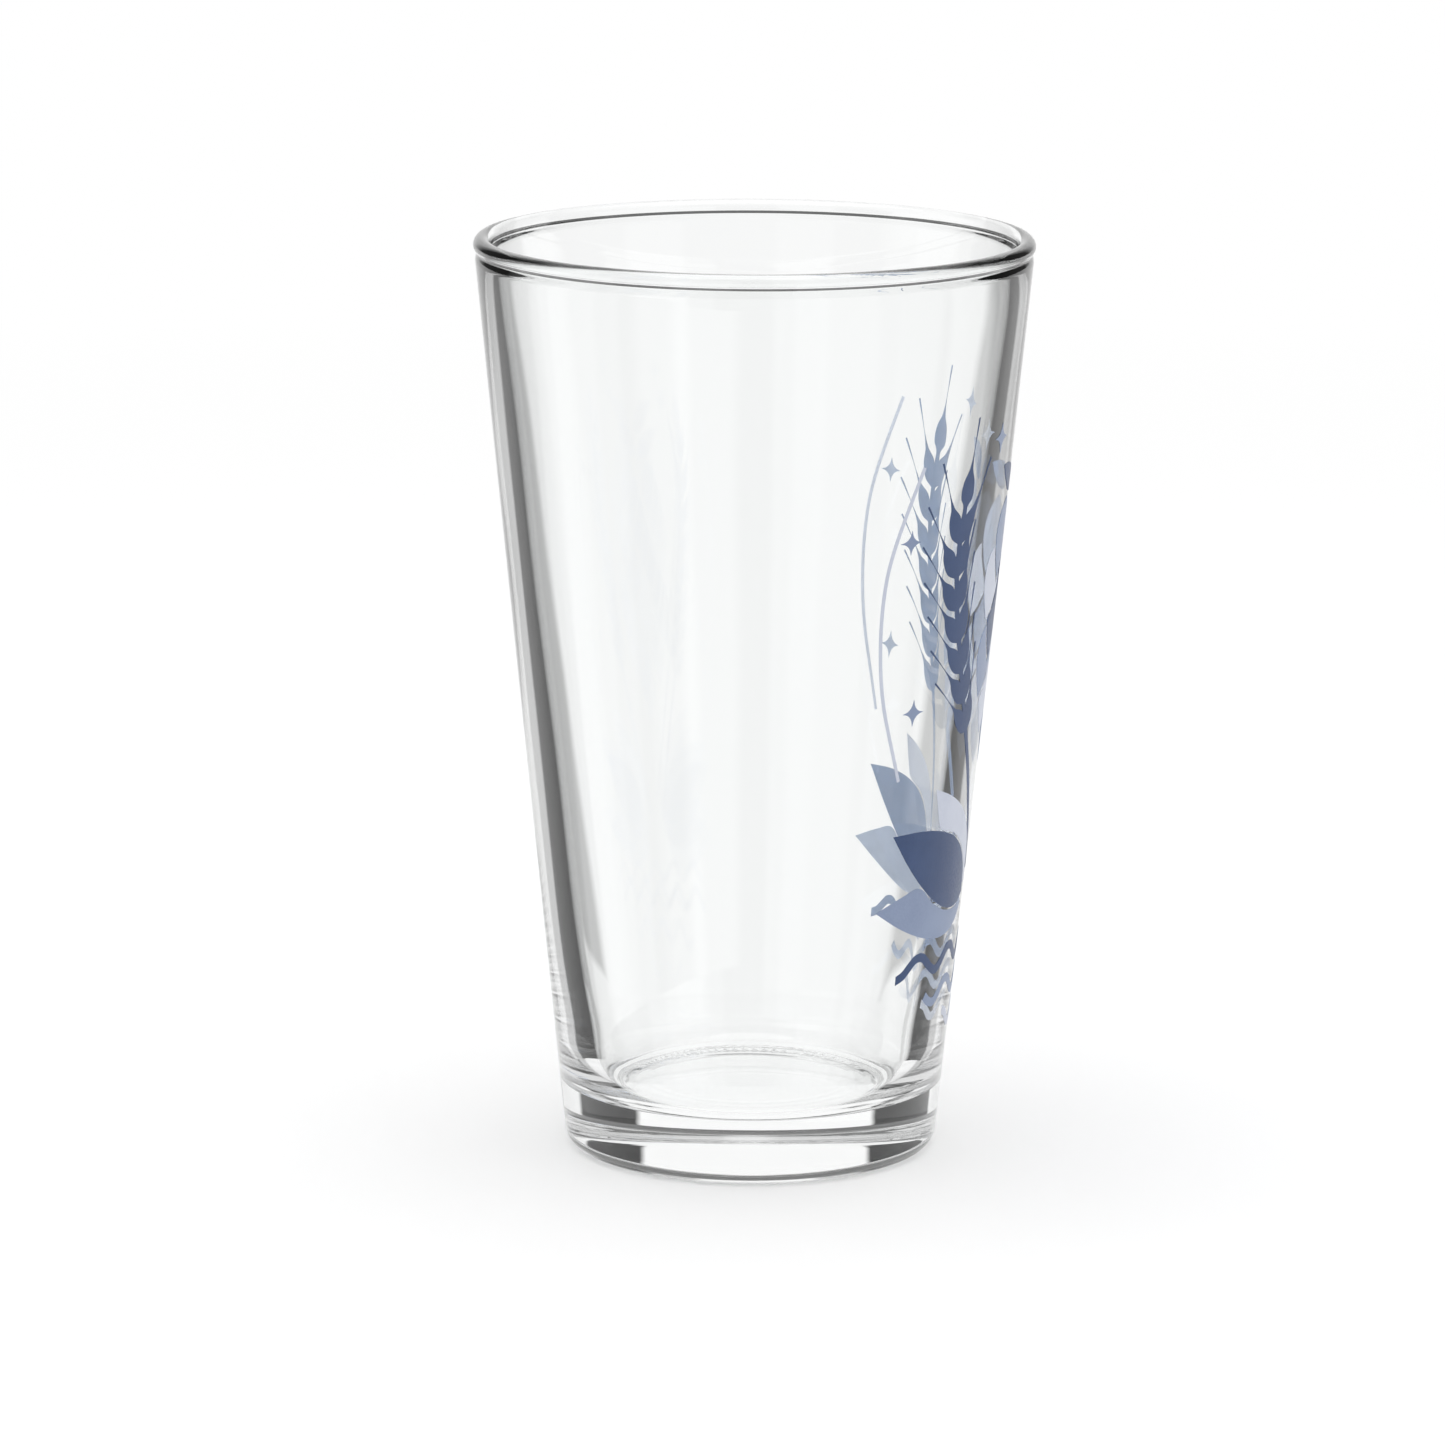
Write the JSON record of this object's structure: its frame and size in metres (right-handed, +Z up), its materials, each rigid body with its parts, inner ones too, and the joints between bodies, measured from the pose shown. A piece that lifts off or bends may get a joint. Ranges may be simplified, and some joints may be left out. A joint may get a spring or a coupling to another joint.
{
  "type": "pint glass",
  "caption": "Straight-sided conical pint tumbler in thick clear pressed glass, with a rounded lip, a solid foot and a printed emblem on one side.",
  "frame": {"origin": "centre of the foot, on the surface that the glass stands on", "axes": "+Z up along the glass's axis towards the rim, +X through the middle of the printed emblem"},
  "size_m": [0.0898, 0.0898, 0.149],
  "materials": {
    "glass": "clear colourless fire-polished soda-lime glass",
    "print_navy": "semi-gloss fired ink, navy",
    "print_slate": "semi-gloss fired ink, mid grey-blue",
    "print_mist": "semi-gloss fired ink, pale grey-blue"
  },
  "bodies": {
    "root": {"glass_body": "glass", "barley_ear_left": "print_navy", "barley_ear_right": "print_navy", "bow_left": "print_mist", "bow_right": "print_mist", "hop_bract_1_1": "print_slate", "hop_bract_1_2": "print_slate", "hop_bract_2_1": "print_navy", "hop_bract_2_2": "print_mist", "hop_bract_2_3": "print_mist", "hop_bract_3_1": "print_navy", "hop_bract_3_2": "print_navy", "hop_bract_4_1": "print_mist", "hop_bract_4_2": "print_slate", "hop_bract_4_3": "print_slate", "hop_bract_5_1": "print_mist", "hop_bract_5_2": "print_mist", "hop_bract_6_1": "print_slate", "hop_leaf_left": "print_navy", "hop_leaf_right": "print_navy", "leaf_high_left": "print_mist", "leaf_high_right": "print_mist", "leaf_low_left": "print_slate", "leaf_low_right": "print_slate", "leaf_middle_left": "print_navy", "leaf_middle_right": "print_navy", "sparkle_1_left": "print_slate", "sparkle_1_right": "print_slate", "sparkle_2_left": "print_slate", "sparkle_2_right": "print_slate", "sparkle_3_left": "print_slate", "sparkle_3_right": "print_slate", "wave_1": "print_navy", "wave_2": "print_slate", "wave_3": "print_mist"}
  },
  "joints": []
}
